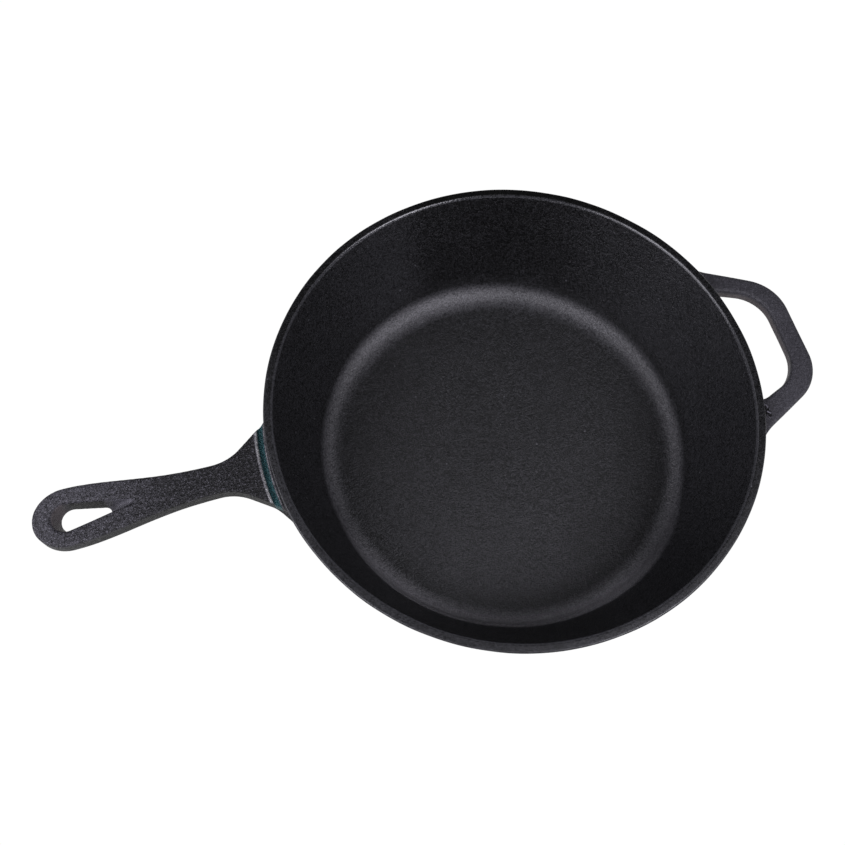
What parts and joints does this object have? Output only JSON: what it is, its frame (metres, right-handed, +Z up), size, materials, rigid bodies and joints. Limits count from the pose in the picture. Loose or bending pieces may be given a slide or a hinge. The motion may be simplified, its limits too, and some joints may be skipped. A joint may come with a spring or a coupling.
{
  "type": "skillet",
  "caption": "Deep cast iron skillet with flared walls, a rim above two level handles: a long flat handle with a teardrop hanging hole and a loop-shaped helper handle.",
  "frame": {"origin": "centre of the flat underside that the skillet stands on", "axes": "+Z up out of the pan, +X from the pan's axis along the helper handle, so the main handle runs along -X, and +Y to the left of +X"},
  "size_m": [0.4135, 0.26, 0.075],
  "materials": {
    "cooking_surface": "seasoned, dark, with a fine cast grain and a satin sheen in the corner fillet",
    "rim_iron": "seasoned, with smoother rounded edges",
    "handle_iron": "seasoned, pebbly as cast, slightly lighter and greyer than the pan"
  },
  "bodies": {
    "root": {"pan_floor": "cooking_surface", "pan_corner": "cooking_surface", "pan_wall": "cooking_surface", "pan_rim": "rim_iron", "main_handle": "handle_iron", "helper_handle": "handle_iron"}
  },
  "joints": []
}
